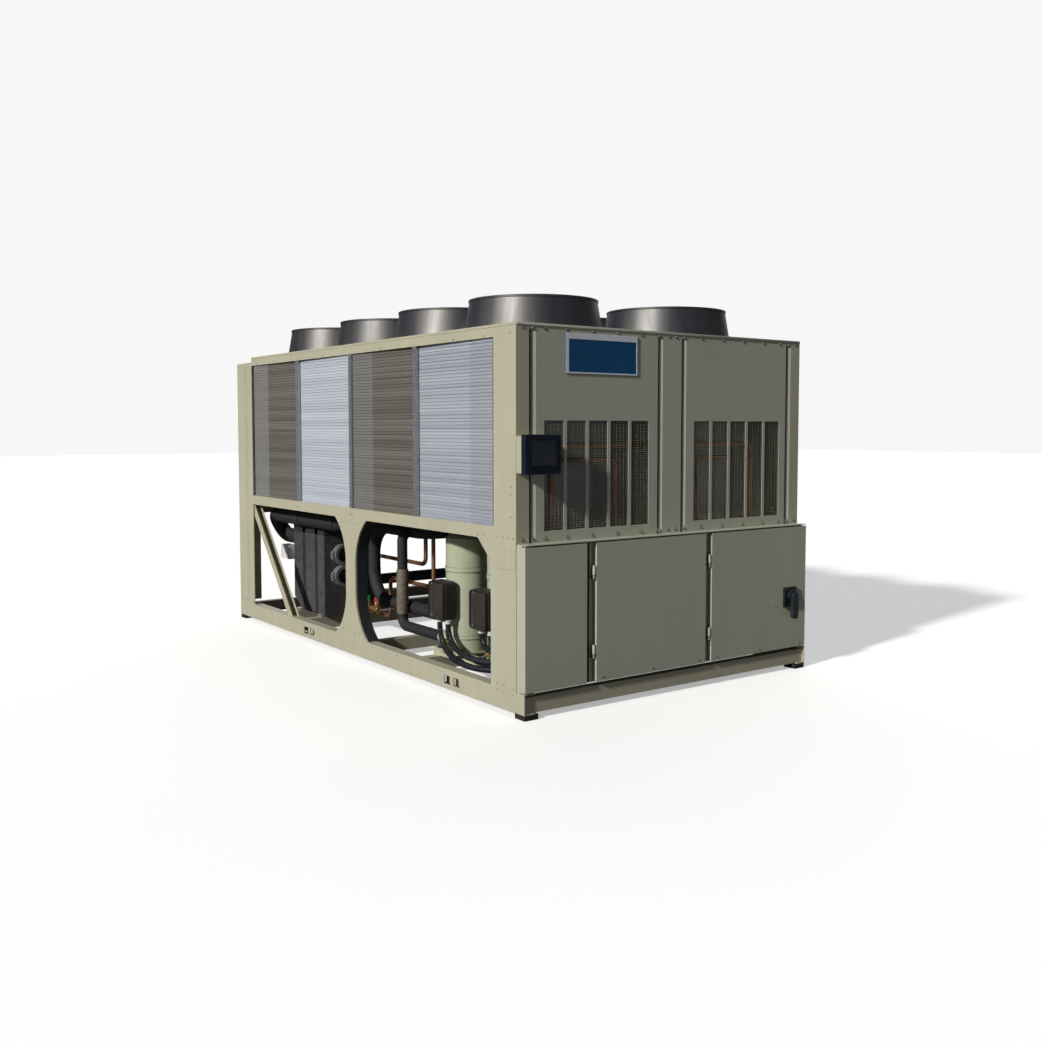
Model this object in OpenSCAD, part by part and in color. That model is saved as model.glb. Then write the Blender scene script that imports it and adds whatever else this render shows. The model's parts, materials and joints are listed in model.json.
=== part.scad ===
// Air cooled water chiller on a sheet steel frame, millimetres, +Z up, front end towards -Y.

/* [Overall] */
// width across the side frames
unit_w = 2240; // [2180:10:2300]
// length of the frame between its end planes
frame_len = 3900; // [3840:10:3980]
// top of the fan deck above the floor
deck_z = 2105; // [2085:5:2140]
// height of the pads under the base
foot_h = 30; // [24:2:40]

/* [Base] */
// height of the side base rails
rail_h = 112; // [106:1:118]
// reach of the side rails in front of the end plane
nose = 75; // [70:1:78]
// reach of the rail flanges
rail_flange = 70; // [64:1:80]
// steel thickness of the base
rail_t = 5; // [4:0.5:7]
// height of the end rails and cross members
cross_h = 86; // [78:1:92]
// width of the end rails and cross members
cross_w = 60; // [50:2:70]
// side of a square foot pad
foot_w = 90; // [84:2:96]
// radius of the anchor hole in a pad
anchor_r = 9; // [7:0.5:11]
// width of a rectangular lifting slot
lift_w = 70; // [60:2:80]
// height of the lifting slots
lift_h = 50; // [44:2:56]

/* [Side frame] */
// sheet thickness of posts and beams
sheet = 4; // [3:0.5:5]
// width of a front post on the side face
front_post_w = 210; // [195:5:225]
// narrowing of a front post below its gusset
post_step = 13; // [8:1:18]
// width of a rear post on the side face
rear_post_w = 300; // [280:5:320]
// width of a corner strip on the end face
strip_w = 85; // [78:1:92]
// underside of the coil beam
beam_z = 945; // [940:1:955]
// height of the coil beam
beam_h = 70; // [64:1:76]
// height of the top rail
top_rail_h = 62; // [56:1:70]
// width of the mid column at its waist
waist_w = 140; // [124:2:156]
// radius of the sweeping column sides
waist_r = 365; // [350:5:385]
// depth of the mid column
column_d = 90; // [80:2:100]
// reach of the gusset under the coil beam
gusset_w = 160; // [140:5:180]
// flange width of the diagonal brace
brace_w = 60; // [54:2:66]
// depth of the diagonal brace
brace_d = 55; // [50:1:60]
// drop of the rear cap below the fan deck
rear_drop = 40; // [36:1:44]

/* [Coils] */
// width of the strips between coils
divider_w = 40; // [34:2:46]
// depth of the strips between coils
divider_d = 20; // [18:1:24]
// thickness of a coil core
coil_t = 30; // [26:1:34]
// recess of a coil at its outer end
coil_out = 12; // [10:1:14]
// recess of a coil at its inner end
coil_in = 24; // [20:1:28]
// radius of a coil header tube
header_r = 16; // [14:0.5:17]

/* [Fans] */
// distance of a fan from the centre line
fan_x = 540; // [530:2:555]
// outer radius of a shroud at the deck
shroud_r = 417; // [410:1:420]
// outer radius of a shroud at its rim
rim_r = 384; // [380:1:388]
// height of a shroud
shroud_h = 200; // [190:2:215]
// wall of a shroud
shroud_t = 7; // [6:0.5:8]
// radius over the blade tips
rotor_r = 358; // [345:1:362]
// number of blades
blade_n = 5; // [4:1:6]
// radius of a fan motor
motor_r = 85; // [75:1:95]

/* [End face] */
// gap between panel and corner strip
seam = 45; // [40:1:50]
// half width of the centre post
centre_half = 75; // [70:1:80]
// depth of the pressed panels
panel_d = 30; // [27:1:33]
// width of a grille opening
grille_w = 133; // [125:1:138]
// spacing of the grille openings
grille_pitch = 155; // [150:1:158]
// height of the grille openings
grille_h = 595; // [570:5:620]

/* [Control cabinet] */
// how far the cabinet doors stand out from the end face
cabinet_out = 80; // [74:1:86]
// depth of the cabinet behind the end face
cabinet_in = 250; // [240:2:262]
// width of the left cover
cover_w = 418; // [410:1:424]
// gap between the left cover and the middle door
gap_l = 68; // [64:1:72]
// width of the middle door
mid_door_w = 844; // [838:1:850]
// gap between the two doors
gap_r = 50; // [46:1:54]
// lower edge of the doors
door_z0 = 148; // [147:1:154]
// upper edge of the doors
door_z1 = 922; // [914:1:925]
// radius of a hinge pin
pin_r = 5; // [4:0.5:6]
// running clearance of pins in their bores
pin_gap = 0.05; // [0.03:0.01:0.08]
// how far the disconnect handle stands out from the doors
handle_out = 60; // [56:1:70]

/* [Machinery] */
// radius of a compressor shell
comp_r = 128; // [122:1:132]
// top of a compressor
comp_top = 920; // [900:2:926]
// distance of the compressors from the centre line
comp_x = 800; // [790:2:810]
// length of the evaporator block
evap_l = 540; // [520:5:560]
// width of the evaporator block
evap_w = 420; // [400:5:440]
// top of the evaporator block
evap_top = 795; // [780:1:798]
// outer radius of the water pipes
water_r = 57.15; // [54:0.05:60]
// radius of the insulated suction header
suction_head_r = 58; // [52:1:60]
// radius of an insulated suction line
suction_r = 42; // [38:1:45]
// radius of a copper discharge line
copper_r = 17.5; // [16:0.5:20]
// radius of a copper liquid line
liquid_r = 14; // [12:0.5:16]
// radius of a power conduit
conduit_r = 17; // [15:0.5:19]

/* [Hidden] */
$fn = 64;
half_w = unit_w / 2;
front_y = -(frame_len - cabinet_out - handle_out) / 2;
rail_top = foot_h + rail_h;
bed_z = foot_h + rail_t;
bed_top = bed_z + cross_h;
beam_top = beam_z + beam_h;
deck_under = deck_z - 5;
top_rail_z = deck_under - top_rail_h;
bay_y0 = front_post_w;
bay_y1 = frame_len - rear_post_w;
bay_l = (bay_y1 - bay_y0) / 4;
mid_y = (bay_y0 + bay_y1) / 2 + 15;
fan_ys = [for (i = [0:3]) bay_y0 + bay_l * (i + 0.5)];
fan_xs = [-fan_x, fan_x];
evap_x0 = -half_w + 220;
evap_y0 = bay_y1 - 815;
evap_y1 = evap_y0 + evap_l;
cross_ys = [380, 1130, 1790, evap_y0 + 65, evap_y1 - 95];
lift_ys = [581, 2523];
roof_z = 934;
panel_x0 = centre_half + 38;
panel_x1 = half_w - strip_w - seam;
panel_z1 = deck_z - 32;
cap_z = deck_z - rear_drop - 4;
cover_x1 = -half_w + 2 + cover_w;
door_a0 = cover_x1 + gap_l;
door_a1 = door_a0 + mid_door_w;
door_b0 = door_a1 + gap_r;
door_b1 = half_w - 7;
shell_y0 = -45;
shell_half = half_w - 7;
hinge_off = 13;
hinge_y = -72;
hinge_zs = [300, 740];
handle_x = door_b1 - 157;
handle_z = 488;
stand_h = 20;
suction_z = 860;
bend_z = 690;
head_x = evap_x0 - 30;
head_dx = 90;
head_rise = norm([head_dx, suction_z - bend_z]);
head_y0 = evap_y0 - 305;
chase_x = -500;
loop_y = 2180;
riser_y = 1640;
stub_y = 160;
stub_z = 350;
comp_ys = [520, 980];
comp_z0 = bed_top + 50;
hole_r = shroud_r - 22;
paint = [0.80, 0.78, 0.68];
shade = [0.62, 0.61, 0.54];
galv = [0.62, 0.64, 0.65];
alu = [0.72, 0.74, 0.77];
black = [0.08, 0.08, 0.09];
copper = [0.72, 0.45, 0.28];
comp_green = [0.78, 0.80, 0.68];

// Moves a shape drawn from the front end plane into the centred frame
module at_end() translate([0, front_y, 0]) children();

// Repeats a shape on the other side of the centre line
module both_sides() {
    children();
    mirror([1, 0, 0]) children();
}

// Extrudes an x-z profile along +Y
module along_y(len) translate([0, len, 0]) rotate([90, 0, 0]) linear_extrude(len) children();

// Extrudes a y-z profile along +X
module along_x(len) rotate([90, 0, 90]) linear_extrude(len) children();

// Channel section, web on the left
module channel(depth, height, t) difference() {
    square([depth, height]);
    translate([t, t]) square([depth, height - 2 * t]);
}

// Box between two corners
module slab(a, b) translate(a) cube(b - a);

// Pressed tray, open at the back, drawn from its lower front corner
module tray(w, d, h, t) difference() {
    cube([w, d, h]);
    translate([t, t, t]) cube([w - 2 * t, d, h - 2 * t]);
}

function unit(v) = v / norm(v);
function turn(pts, i) = acos(unit(pts[i] - pts[i - 1]) * unit(pts[i + 1] - pts[i]));
function trim(pts, i, bend) =
    i == 0 || i == len(pts) - 1 ? 0 : bend * tan(turn(pts, i) / 2);

// Straight round bar between two points
module bar(a, b, r) {
    d = b - a;
    translate(a) rotate([0, acos(d[2] / norm(d)), atan2(d[1], d[0])]) cylinder(r = r, h = norm(d));
}

// Elbow at one corner of a pipe run
module elbow(pts, i, r, bend) {
    d1 = unit(pts[i] - pts[i - 1]);
    d2 = unit(pts[i + 1] - pts[i]);
    n = unit(d2 - d1 * (d1 * d2));
    c = pts[i] - d1 * trim(pts, i, bend) + n * bend;
    x = -n;
    z = cross(x, d1);
    multmatrix([[x[0], d1[0], z[0], c[0]], [x[1], d1[1], z[1], c[1]], [x[2], d1[2], z[2], c[2]]])
        rotate_extrude(angle = turn(pts, i)) translate([bend, 0]) circle(r);
}

// Round pipe through a list of points with bent corners
module pipe_run(pts, r, bend) {
    for (i = [0:len(pts) - 2]) {
        d = unit(pts[i + 1] - pts[i]);
        bar(pts[i] + d * trim(pts, i, bend), pts[i + 1] - d * trim(pts, i + 1, bend), r);
    }
    for (i = [1:1:len(pts) - 2]) elbow(pts, i, r, bend);
}

// Side rail with lifting slots and anchor holes
module base_rail() difference() {
    translate([0, -nose, 0]) along_y(frame_len + nose)
        translate([-half_w, foot_h]) channel(rail_flange, rail_h, rail_t);
    for (y = lift_ys) {
        slab([-half_w - 1, y + 80, bed_z + 20], [-half_w + 20, y + 80 + lift_w, bed_z + 20 + lift_h]);
        translate([-half_w - 1, y, bed_z + 20 + lift_h / 2]) rotate([0, 90, 0])
            cylinder(r = lift_h / 2, h = 20);
        slab([-half_w - 1, y, bed_z + 20], [-half_w + 20, y + 50, bed_z + 20 + lift_h]);
    }
    for (y = [foot_y(0), foot_y(1)])
        translate([-foot_cx, y, 0]) cylinder(r = anchor_r, h = foot_h + 20);
}
foot_cx = half_w - foot_w / 2 - 2;
function foot_y(end) = end == 0 ? foot_w / 2 - nose : frame_len - foot_w / 2;

module left_base_rail() color(paint) at_end() base_rail();
module right_base_rail() color(paint) at_end() mirror([1, 0, 0]) base_rail();

// Channel across the unit, resting on the rail flanges, web towards -Y
module cross_channel(y) translate([-half_w + rail_t, y, bed_z])
    along_x(unit_w - 2 * rail_t) channel(cross_w, cross_h, rail_t);

module end_base_rails() color(paint) at_end() {
    cross_channel(15 - nose);
    translate([0, 2 * frame_len, 0]) mirror([0, 1, 0]) translate([0, frame_len, 0]) cross_channel(0);
}

module cross_members() color(paint) at_end() for (y = cross_ys) cross_channel(y);

module corner_feet() color(black) at_end() both_sides() for (e = [0, 1])
    translate([-foot_cx, foot_y(e), 0]) difference() {
        translate([-foot_w / 2, -foot_w / 2, 0]) cube([foot_w, foot_w, foot_h]);
        translate([0, 0, -1]) cylinder(r = anchor_r, h = foot_h + 2);
    }

// Plan section of a corner post above the sill: strip, return and panel flange
module strip_section() {
    translate([-half_w, 0]) square([strip_w, sheet]);
    translate([-half_w + strip_w - sheet, 0]) square([sheet, panel_d + sheet]);
    translate([-half_w + strip_w - sheet, panel_d]) square([strip_w, sheet]);
}

// Front corner post: side face with its gusset, and the end strip above the cabinet
module front_post() {
    translate([-half_w, 0, 0]) along_x(sheet) polygon([[0, rail_top],
        [front_post_w - post_step, rail_top], [front_post_w - post_step, beam_z - 265],
        [front_post_w, beam_z - 155], [front_post_w + gusset_w * 0.5, beam_z - 73],
        [front_post_w + gusset_w, beam_z], [front_post_w, beam_z], [front_post_w, top_rail_z],
        [0, top_rail_z]]);
    translate([0, 0, roof_z]) linear_extrude(panel_z1 - roof_z) strip_section();
}

module left_front_post() color(paint) at_end() front_post();
module right_front_post() color(paint) at_end() mirror([1, 0, 0]) front_post();

// Outline of the waisted column, drawn on its centre line
module waist(half, r) difference() {
    translate([-half_w / 2, rail_top]) square([half_w, beam_z - rail_top]);
    for (s = [-1, 1]) {
        for (z = [waist_z - 100, waist_z + 100]) translate([s * (half + r), z]) circle(r);
        translate([s * (half + half_w) - half_w, waist_z - 100]) square([2 * half_w, 200]);
        translate([s * (half + r + half_w) - half_w, rail_top - 1]) square([2 * half_w, beam_z]);
    }
}
waist_z = (rail_top + beam_z) / 2;

// Waisted mid column: outer web with deep returned edges
module mid_column() translate([-half_w, mid_y, 0]) difference() {
    along_x(column_d) waist(waist_w / 2, waist_r);
    translate([sheet, 0, 0]) along_x(column_d) waist(waist_w / 2 - sheet, waist_r + sheet);
}

module mid_columns() color(paint) at_end() both_sides() mid_column();

// Rear corner post: side face, pressed line and end strip
module rear_posts() color(paint) at_end() both_sides() difference() {
    union() {
        translate([-half_w, 0, 0]) along_x(sheet) polygon([[bay_y1, rail_top], [frame_len, rail_top],
            [frame_len, cap_z], [bay_y1 + 3, cap_z], [bay_y1 + 3, top_rail_z], [bay_y1, top_rail_z]]);
        translate([0, frame_len, rail_top]) mirror([0, 1, 0])
            linear_extrude(cap_z - rail_top) strip_section();
    }
    slab([-half_w - 1, frame_len - 183, rail_top - 1], [-half_w + 1.5, frame_len - 177, cap_z + 1]);
}

module rear_cap() color(paint) at_end() slab([-half_w, bay_y1 + 3, cap_z], [half_w, frame_len, cap_z + 4]);

module rear_sill() color(paint) at_end() translate([-half_w + strip_w, frame_len - sheet, roof_z - 80])
    mirror([0, 1, 0]) translate([0, -sheet, 0]) along_x(unit_w - 2 * strip_w)
        channel(panel_d - 2, 80, sheet);

module coil_beams() color(paint) at_end() both_sides()
    translate([0, bay_y0, 0]) along_y(bay_y1 - bay_y0)
        translate([-half_w, beam_z]) channel(150, beam_h, sheet);

module top_rails() color(paint) at_end() both_sides()
    translate([0, sheet, 0]) along_y(bay_y1 - 1 - sheet) translate([-half_w, top_rail_z]) {
        square([sheet, top_rail_h]);
        translate([0, top_rail_h - sheet]) square([60, sheet]);
    }

// Diagonal channel in the rear bay, open towards the front, cut off level with rail and beam
module rear_bay_braces() color(paint) at_end() both_sides() intersection() {
    translate([-half_w + 10, bay_y1 + 60, beam_z - 25]) rotate([228.7, 0, 0])
        translate([0, -200, -brace_w]) difference() {
            cube([brace_d, 1500, brace_w]);
            translate([sheet, -1, -1]) cube([brace_d - 2 * sheet, 1502, brace_w - sheet + 1]);
        }
    slab([-half_w + 10, bay_y0, rail_top], [-half_w + 10 + brace_d, frame_len - 190, beam_z]);
}

// One coil core with its header tubes behind its ends, drawn on its own centre
module coil() {
    l = bay_l - divider_w - 6;
    translate([-coil_t / 2, -l / 2, 0]) cube([coil_t, l, top_rail_z - beam_top]);
    for (s = [-1, 1]) translate([coil_t / 2 + header_r - 2, s * (l / 2 - header_r - 4), 0])
        cylinder(r = header_r, h = top_rail_z - beam_top);
}

// Four coils of one side, set in a shallow zigzag
module coil_bank() for (i = [0:3])
    translate([-half_w + (coil_out + coil_in + coil_t) / 2, fan_ys[i], beam_top])
        rotate([0, 0, (i % 2 == 0 ? -1 : 1) * asin((coil_in - coil_out) / (bay_l - divider_w))]) coil();

module left_coils() color(alu) at_end() coil_bank();
module right_coils() color(alu) at_end() mirror([1, 0, 0]) coil_bank();

module coil_dividers() color(galv) at_end() both_sides() for (i = [1:3])
    translate([-half_w, bay_y0 + bay_l * i - divider_w / 2, beam_top])
        linear_extrude(top_rail_z - beam_top) channel(divider_d, divider_w, 3);

module plenum_bulkheads() color(galv) at_end() for (y = [bay_y0 + 4, bay_y1 - 8]) {
    slab([-half_w + 8, y, beam_top], [half_w - 8, y + 4, top_rail_z]);
    slab([-950, y, top_rail_z - 1], [950, y + 4, deck_under]);
}

module plenum_floor() color(galv) at_end()
    slab([-half_w + 142, bay_y0 + 8, beam_top], [half_w - 142, bay_y1 - 8, beam_top + 3]);

// Deck plates around the fans with end strips turned down over the panels
module fan_deck() color(paint) at_end() {
    for (x = fan_xs, y = fan_ys) difference() {
        translate([x < 0 ? -half_w : 1, y - bay_l / 2 + 1, deck_under]) cube([half_w - 1, bay_l - 2, 5]);
        translate([x, y, deck_under - 1]) cylinder(r = hole_r, h = 8);
    }
    slab([-half_w, 0, deck_under], [half_w, bay_y0 - 1, deck_z]);
    slab([-half_w, 0, panel_z1], [half_w, sheet, deck_z]);
    slab([-half_w, bay_y1 - 1, top_rail_z], [half_w, bay_y1 + 3, deck_z]);
}

module fan_shrouds() color(black) at_end() for (x = fan_xs, y = fan_ys)
    translate([x, y, deck_z]) rotate_extrude() polygon([[shroud_r - shroud_t, 0], [shroud_r + 15, 0],
        [shroud_r + 15, 5], [shroud_r - 0.5, 5], [rim_r + 1, shroud_h - 12], [rim_r + 5, shroud_h - 12],
        [rim_r + 5, shroud_h], [rim_r - shroud_t, shroud_h], [rim_r - shroud_t, shroud_h - 15],
        [rim_r - 20, shroud_h - 15], [rim_r - 20, shroud_h - 20], [rim_r - shroud_t + 2, shroud_h - 20]]);

// Ring guard on four bars, resting on the ledge inside the rim
module fan_guards() color(black) at_end() for (x = fan_xs, y = fan_ys)
    translate([x, y, deck_z + shroud_h - 15]) {
        for (r = [90, 185, 280, rim_r - 18]) rotate_extrude() translate([r, 0]) square([6, 6]);
        for (a = [0:45:135]) rotate([0, 0, a]) translate([-rim_r + 14, -4, 0]) cube([2 * rim_r - 28, 8, 5]);
    }

// One cambered blade, a strip of a large tube wall cut to its outline
module blade() intersection() {
    rotate([22, 0, 0]) translate([40, 0, -320]) rotate([0, 90, 0]) difference() {
        cylinder(r = 323, h = rotor_r);
        translate([0, 0, -1]) cylinder(r = 320, h = rotor_r + 2);
    }
    linear_extrude(200, center = true) intersection() {
        circle(rotor_r);
        polygon([[50, -50], [rotor_r + 20, -125], [rotor_r + 20, 90], [50, 45]]);
    }
}

module fan_rotors() color([0.25, 0.26, 0.28]) at_end() for (x = fan_xs, y = fan_ys)
    translate([x, y, deck_z]) {
        cylinder(r = 75, h = 90);
        for (i = [0:blade_n - 1]) rotate([0, 0, i * 360 / blade_n]) translate([0, 0, 48]) blade();
    }

module fan_motors() color([0.3, 0.31, 0.33]) at_end() for (x = fan_xs, y = fan_ys)
    translate([x, y, 0]) {
        translate([0, 0, deck_under - 230]) cylinder(r = motor_r, h = 222);
        translate([0, 0, deck_under - 20]) cylinder(r = 15, h = 25);
        for (a = [45, 135]) rotate([0, 0, a]) translate([-hole_r - 20, -20, deck_under - 8])
            cube([2 * hole_r + 40, 40, 8]);
    }

// Front grille tray with five tall openings
module grille_panel() translate([panel_x0, 0, roof_z]) difference() {
    tray(panel_x1 - panel_x0, panel_d, panel_z1 - roof_z, 3);
    for (i = [-2:2])
        translate([(panel_x1 - panel_x0) / 2 + 6 + i * grille_pitch - grille_w / 2, -1, 61])
            cube([grille_w, 10, grille_h]);
}

module left_grille_panel() color(shade) at_end() mirror([1, 0, 0]) grille_panel();
module right_grille_panel() color(shade) at_end() grille_panel();

module centre_section() both_sides() {
    square([centre_half, sheet]);
    translate([centre_half - sheet, 0]) square([sheet, panel_d + sheet]);
    translate([centre_half - sheet, panel_d]) square([80, sheet]);
}

module front_centre_post() color(shade) at_end() translate([0, 0, roof_z])
    linear_extrude(panel_z1 - roof_z) centre_section();

module rear_end_panels() color(shade) at_end() translate([0, frame_len, roof_z]) mirror([0, 1, 0]) {
    both_sides() translate([panel_x0, 0, 0]) tray(panel_x1 - panel_x0, panel_d, cap_z - roof_z, 3);
    linear_extrude(cap_z - roof_z) centre_section();
}

module name_plate() color([0.1, 0.16, 0.24]) at_end()
    slab([-panel_x1 + 200, -4, panel_z1 - 227], [-panel_x1 + 714, 0, panel_z1 - 7]);

// Pressed tray that stands the display off the corner strip
module display_bracket() color(paint) at_end() translate([-half_w + 3, -45, 1312]) tray(190, 45, 196, 3);

module display_housing() color(black) at_end() difference() {
    slab([-half_w + 2, -cabinet_out - 4, 1305], [-half_w + 235, -45, 1515]);
    slab([-half_w + 32, -cabinet_out - 5, 1345], [-half_w + 205, -cabinet_out - 1, 1490]);
}

// Hollow cabinet shell with three compartments and a roof lip
module control_cabinet() color(shade) at_end() difference() {
    union() {
        slab([-shell_half, shell_y0, rail_top], [shell_half, cabinet_in, roof_z - 4]);
        slab([-shell_half, -cabinet_out - 2, roof_z - 4], [shell_half, cabinet_in, roof_z]);
    }
    for (c = [[-shell_half + 3, cover_x1 + 32], [cover_x1 + 36, door_a1 + 23], [door_a1 + 27, shell_half - 3]])
        slab([c[0], shell_y0 + 4, rail_top + 3], [c[1], cabinet_in - 3, roof_z - 8]);
    for (c = [[-shell_half + 25, cover_x1 - 20], [door_a0 + 32, door_a1 - 32], [door_b0 + 38, shell_half - 25]])
        slab([c[0], shell_y0 - 1, rail_top + 25], [c[1], shell_y0 + 5, roof_z - 30]);
}

module left_cover_panel() color(shade) at_end() {
    translate([-half_w + 2, -cabinet_out, door_z0])
        tray(cover_x1 + half_w - 2, cabinet_out + shell_y0, door_z1 - door_z0, 2);
    slab([-half_w + 2, shell_y0, rail_top + 3], [-half_w + 5, -2, door_z1]);
}

// Frame side of a hinge: lug on the stile with an upright pin
module hinge_lug(x, z) {
    translate([x, hinge_y, z - 20]) cylinder(r = 8, h = 20);
    slab([x - 6, hinge_y, z - 20], [x + 6, shell_y0, z]);
    translate([x, hinge_y, z - 1]) cylinder(r = pin_r, h = 56);
}

module door_hinges() color(galv) at_end() for (x = [door_a0 - hinge_off, door_b0 - hinge_off], z = hinge_zs)
    hinge_lug(x, z);

// Pressed door tray with two bored hinge knuckles on its left edge
module door(x0, x1) difference() {
    union() {
        translate([x0, -cabinet_out, door_z0]) tray(x1 - x0, cabinet_out - 50, door_z1 - door_z0, 2);
        for (z = hinge_zs) {
            translate([x0 - hinge_off, hinge_y, z + 5]) cylinder(r = 9.5, h = 50);
            slab([x0 - hinge_off, hinge_y - 5, z + 5], [x0 + 1, hinge_y + 5, z + 55]);
        }
    }
    for (z = hinge_zs)
        translate([x0 - hinge_off, hinge_y, z]) cylinder(r = pin_r + pin_gap, h = 60);
}

module middle_door() color(shade) at_end() door(door_a0, door_a1);

module right_door() color(shade) at_end() difference() {
    door(door_b0, door_b1);
    translate([handle_x - 198, -cabinet_out + 1, handle_z - 5]) rotate([90, 0, 0]) difference() {
        cylinder(r = 55, h = 2);
        translate([0, 0, -1]) cylinder(r = 51, h = 4);
    }
}

module disconnect_base() color(black) at_end() translate([handle_x, -cabinet_out, handle_z])
    rotate([90, 0, 0]) difference() {
        translate([-56, -72, 0]) cube([112, 124, 14]);
        translate([0, 0, 2]) cylinder(r = 10 + pin_gap, h = 20);
    }

// Rotary handle with its shaft in the base and a lever hanging down
module disconnect_handle() color(black) at_end() translate([handle_x, -cabinet_out, handle_z])
    rotate([90, 0, 0]) {
        translate([0, 0, 4]) cylinder(r = 10, h = 20);
        translate([0, 0, 19]) cylinder(r = 32, h = 21);
        translate([-24, -122, 36]) cube([48, 122, handle_out - 36]);
        translate([0, 0, 36]) cylinder(r = 24, h = handle_out - 36);
        translate([0, -122, 36]) cylinder(r = 24, h = handle_out - 36);
    }

// Upright scroll compressor with domed top, weld bands, pipe stubs and foot plate
module compressor(y, stubs) translate([-comp_x, y, comp_z0]) {
    h = comp_top - comp_z0;
    translate([-145, -130, 0]) cube([290, 260, 12]);
    rotate_extrude() intersection() {
        translate([0, 10]) square([comp_r, h - 10]);
        translate([0, h - 1.6 * comp_r]) union() {
            circle(1.6 * comp_r);
            translate([0, -h]) square([comp_r, h]);
        }
    }
    translate([0, 0, h * 0.67]) cylinder(r = comp_r + 4, h = 26);
    translate([0, 0, h * 0.12]) cylinder(r = comp_r + 4, h = 20);
    translate([0, 0, h - 8]) cylinder(r = copper_r + 8, h = 18);
    slab([-135, -45, 260], [-100, 45, 400]);
    if (stubs) {
        translate([0, 90, stub_z - comp_z0]) rotate([-90, 0, 0]) cylinder(r = suction_r + 4, h = stub_y - 90);
        translate([-80, 40, 240 - comp_z0]) rotate([-90, 0, 0]) cylinder(r = 36, h = stub_y - 40);
    }
}

// Two compressors of one side, the far one with the suction stubs
module compressor_pair() for (i = [0, 1]) compressor(comp_ys[i], i == 1);

module left_compressors() color(comp_green) at_end() compressor_pair();
module right_compressors() color(comp_green) at_end() mirror([1, 0, 0]) compressor_pair();

// Rectangle with rounded corners, centred on the first axis
module rounded(w, h, r) translate([-w / 2, 0]) {
    translate([r, 0]) square([w - 2 * r, h]);
    translate([0, r]) square([w, h - 2 * r]);
    for (x = [r, w - r], y = [r, h - r]) translate([x, y]) circle(r);
}

box_z0 = comp_z0 + 215;
module terminal_boxes() color(black) at_end() both_sides() for (y = comp_ys)
    translate([-comp_x - 205, y, box_z0]) along_x(70) rounded(178, 234, 26);

module compressor_rails() color(paint) at_end() both_sides() for (x = [-comp_x - 100, -comp_x + 50])
    translate([x, 330, bed_top]) along_y(880) rotate([0, 0, -90]) translate([-50, 0]) channel(50, 50, 4);

// Insulated evaporator block with its lower rear edge cut off
module evaporator() color([0.2, 0.2, 0.21]) at_end() translate([evap_x0, evap_y0, bed_top + stand_h])
    along_x(evap_w) polygon([[0, 0], [evap_l - 145, 0], [evap_l, 90], [evap_l, evap_top - bed_top - stand_h],
        [0, evap_top - bed_top - stand_h]]);

module evaporator_stand() color(paint) at_end() for (y = [cross_ys[3], cross_ys[4]])
    translate([evap_x0, y, bed_top]) along_x(evap_w) rotate([0, 0, -90]) translate([-stand_h, 0])
        channel(stand_h, cross_w, 4);

water_zs = [440, 600];
water_x = -765;
module water_nozzles() color(galv) at_end() for (z = water_zs) translate([water_x, evap_y0, z])
    rotate([90, 0, 0]) difference() {
        cylinder(r = water_r, h = 45);
        translate([0, 0, -1]) cylinder(r = water_r - 6, h = 47);
    }

// Grooved pipe coupling with a gasket chamber, its outer half open for the site pipe
module water_couplings() color([0.35, 0.35, 0.36]) at_end() for (z = water_zs)
    translate([water_x, evap_y0 - 13, z]) rotate([90, 0, 0]) difference() {
        union() {
            cylinder(r = water_r + 22, h = 64);
            translate([-water_r - 40, -16, 16]) cube([2 * water_r + 80, 32, 32]);
        }
        translate([0, 0, -1]) cylinder(r = water_r + 0.15, h = 70);
        translate([0, 0, 20]) cylinder(r = water_r + 8, h = 24);
    }

// Insulated suction pipes: header with its bend, reducer, loop to the compressors, and the far side run
module suction_lines() color(black) at_end() {
    translate([head_x + head_dx, evap_y1, bend_z]) rotate([0, -atan2(head_dx, suction_z - bend_z), 0]) {
        pipe_run([[0, 0, 0], [0, 307, 0], [0, 307, head_rise], [0, head_y0 - evap_y1, head_rise]],
            suction_head_r, 84);
        translate([0, head_y0 - evap_y1 + 10, head_rise]) rotate([90, 0, 0])
            cylinder(r1 = suction_head_r - 3, r2 = suction_r + 4, h = 70);
    }
    pipe_run([[head_x, head_y0 - 40, suction_z], [head_x, head_y0 - 180, suction_z],
        [chase_x, head_y0 - 180, suction_z], [chase_x, 1480, suction_z], [-comp_x, 1480, suction_z],
        [-comp_x, 1700, suction_z]], suction_r, 105);
    pipe_run([[-comp_x, 1700, suction_z], [-comp_x, loop_y, suction_z], [-comp_x, loop_y, stub_z],
        [-comp_x, comp_ys[1] + stub_y, stub_z]], suction_r, 200);
    pipe_run([[-comp_x, riser_y, suction_z], [-comp_x - 80, riser_y, suction_z], [-comp_x - 80, riser_y, 240],
        [-comp_x - 80, comp_ys[1] + stub_y, 240]], 34, 60);
    pipe_run([[evap_x0 + evap_w, evap_y0 + 215, stub_z], [comp_x, evap_y0 + 215, stub_z],
        [comp_x, comp_ys[1] + stub_y, stub_z]], suction_r, 105);
}

// Copper discharge pipes from the compressors into the chase behind the grilles
module discharge_lines() color(copper) at_end() both_sides() {
    for (y = comp_ys) bar([-comp_x, y, comp_top + 10], [-comp_x, y, 970], copper_r);
    pipe_run([[-comp_x, comp_ys[1], 970], [-comp_x, 120, 970], [-comp_x, 120, 1450], [-90, 120, 1450],
        [-90, bay_y0 + 4, 1450]], copper_r, 45);
}

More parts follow.
